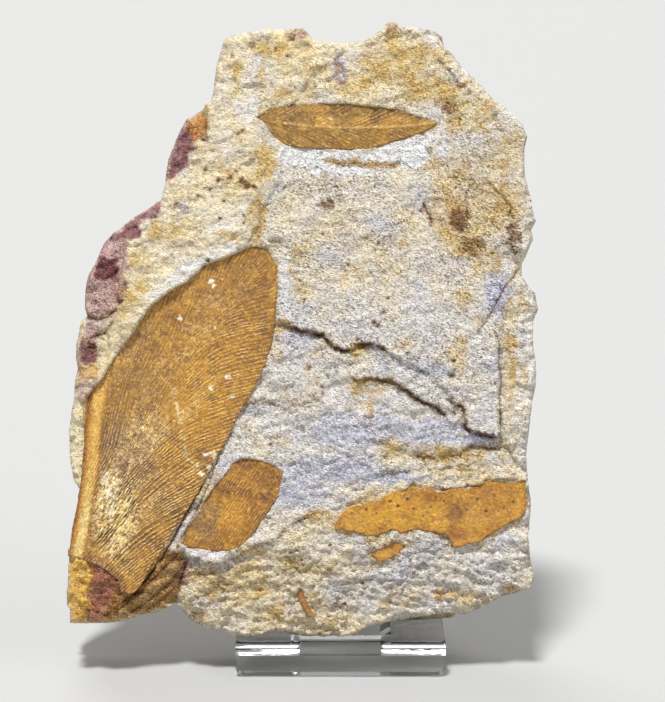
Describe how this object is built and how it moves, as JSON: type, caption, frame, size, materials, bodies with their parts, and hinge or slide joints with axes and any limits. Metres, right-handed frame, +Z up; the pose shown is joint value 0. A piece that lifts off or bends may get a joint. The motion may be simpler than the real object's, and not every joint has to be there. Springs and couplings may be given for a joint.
{
  "type": "fossil glossopteris leaf",
  "caption": "Broken slab of pale mudstone with flat ochre fossil leaves on its split face, leaning on a clear one-piece easel.",
  "frame": {"origin": "middle of the footprint, on the table", "axes": "+Z up, +X to the right and -Y towards the viewer of the slab's face, which leans back 12 degrees"},
  "size_m": [0.1216, 0.0636, 0.1619],
  "materials": {
    "mudstone": "matte",
    "clear_acrylic": "gloss"
  },
  "bodies": {
    "root": {"slab": "mudstone", "stand": "clear_acrylic"}
  },
  "joints": []
}
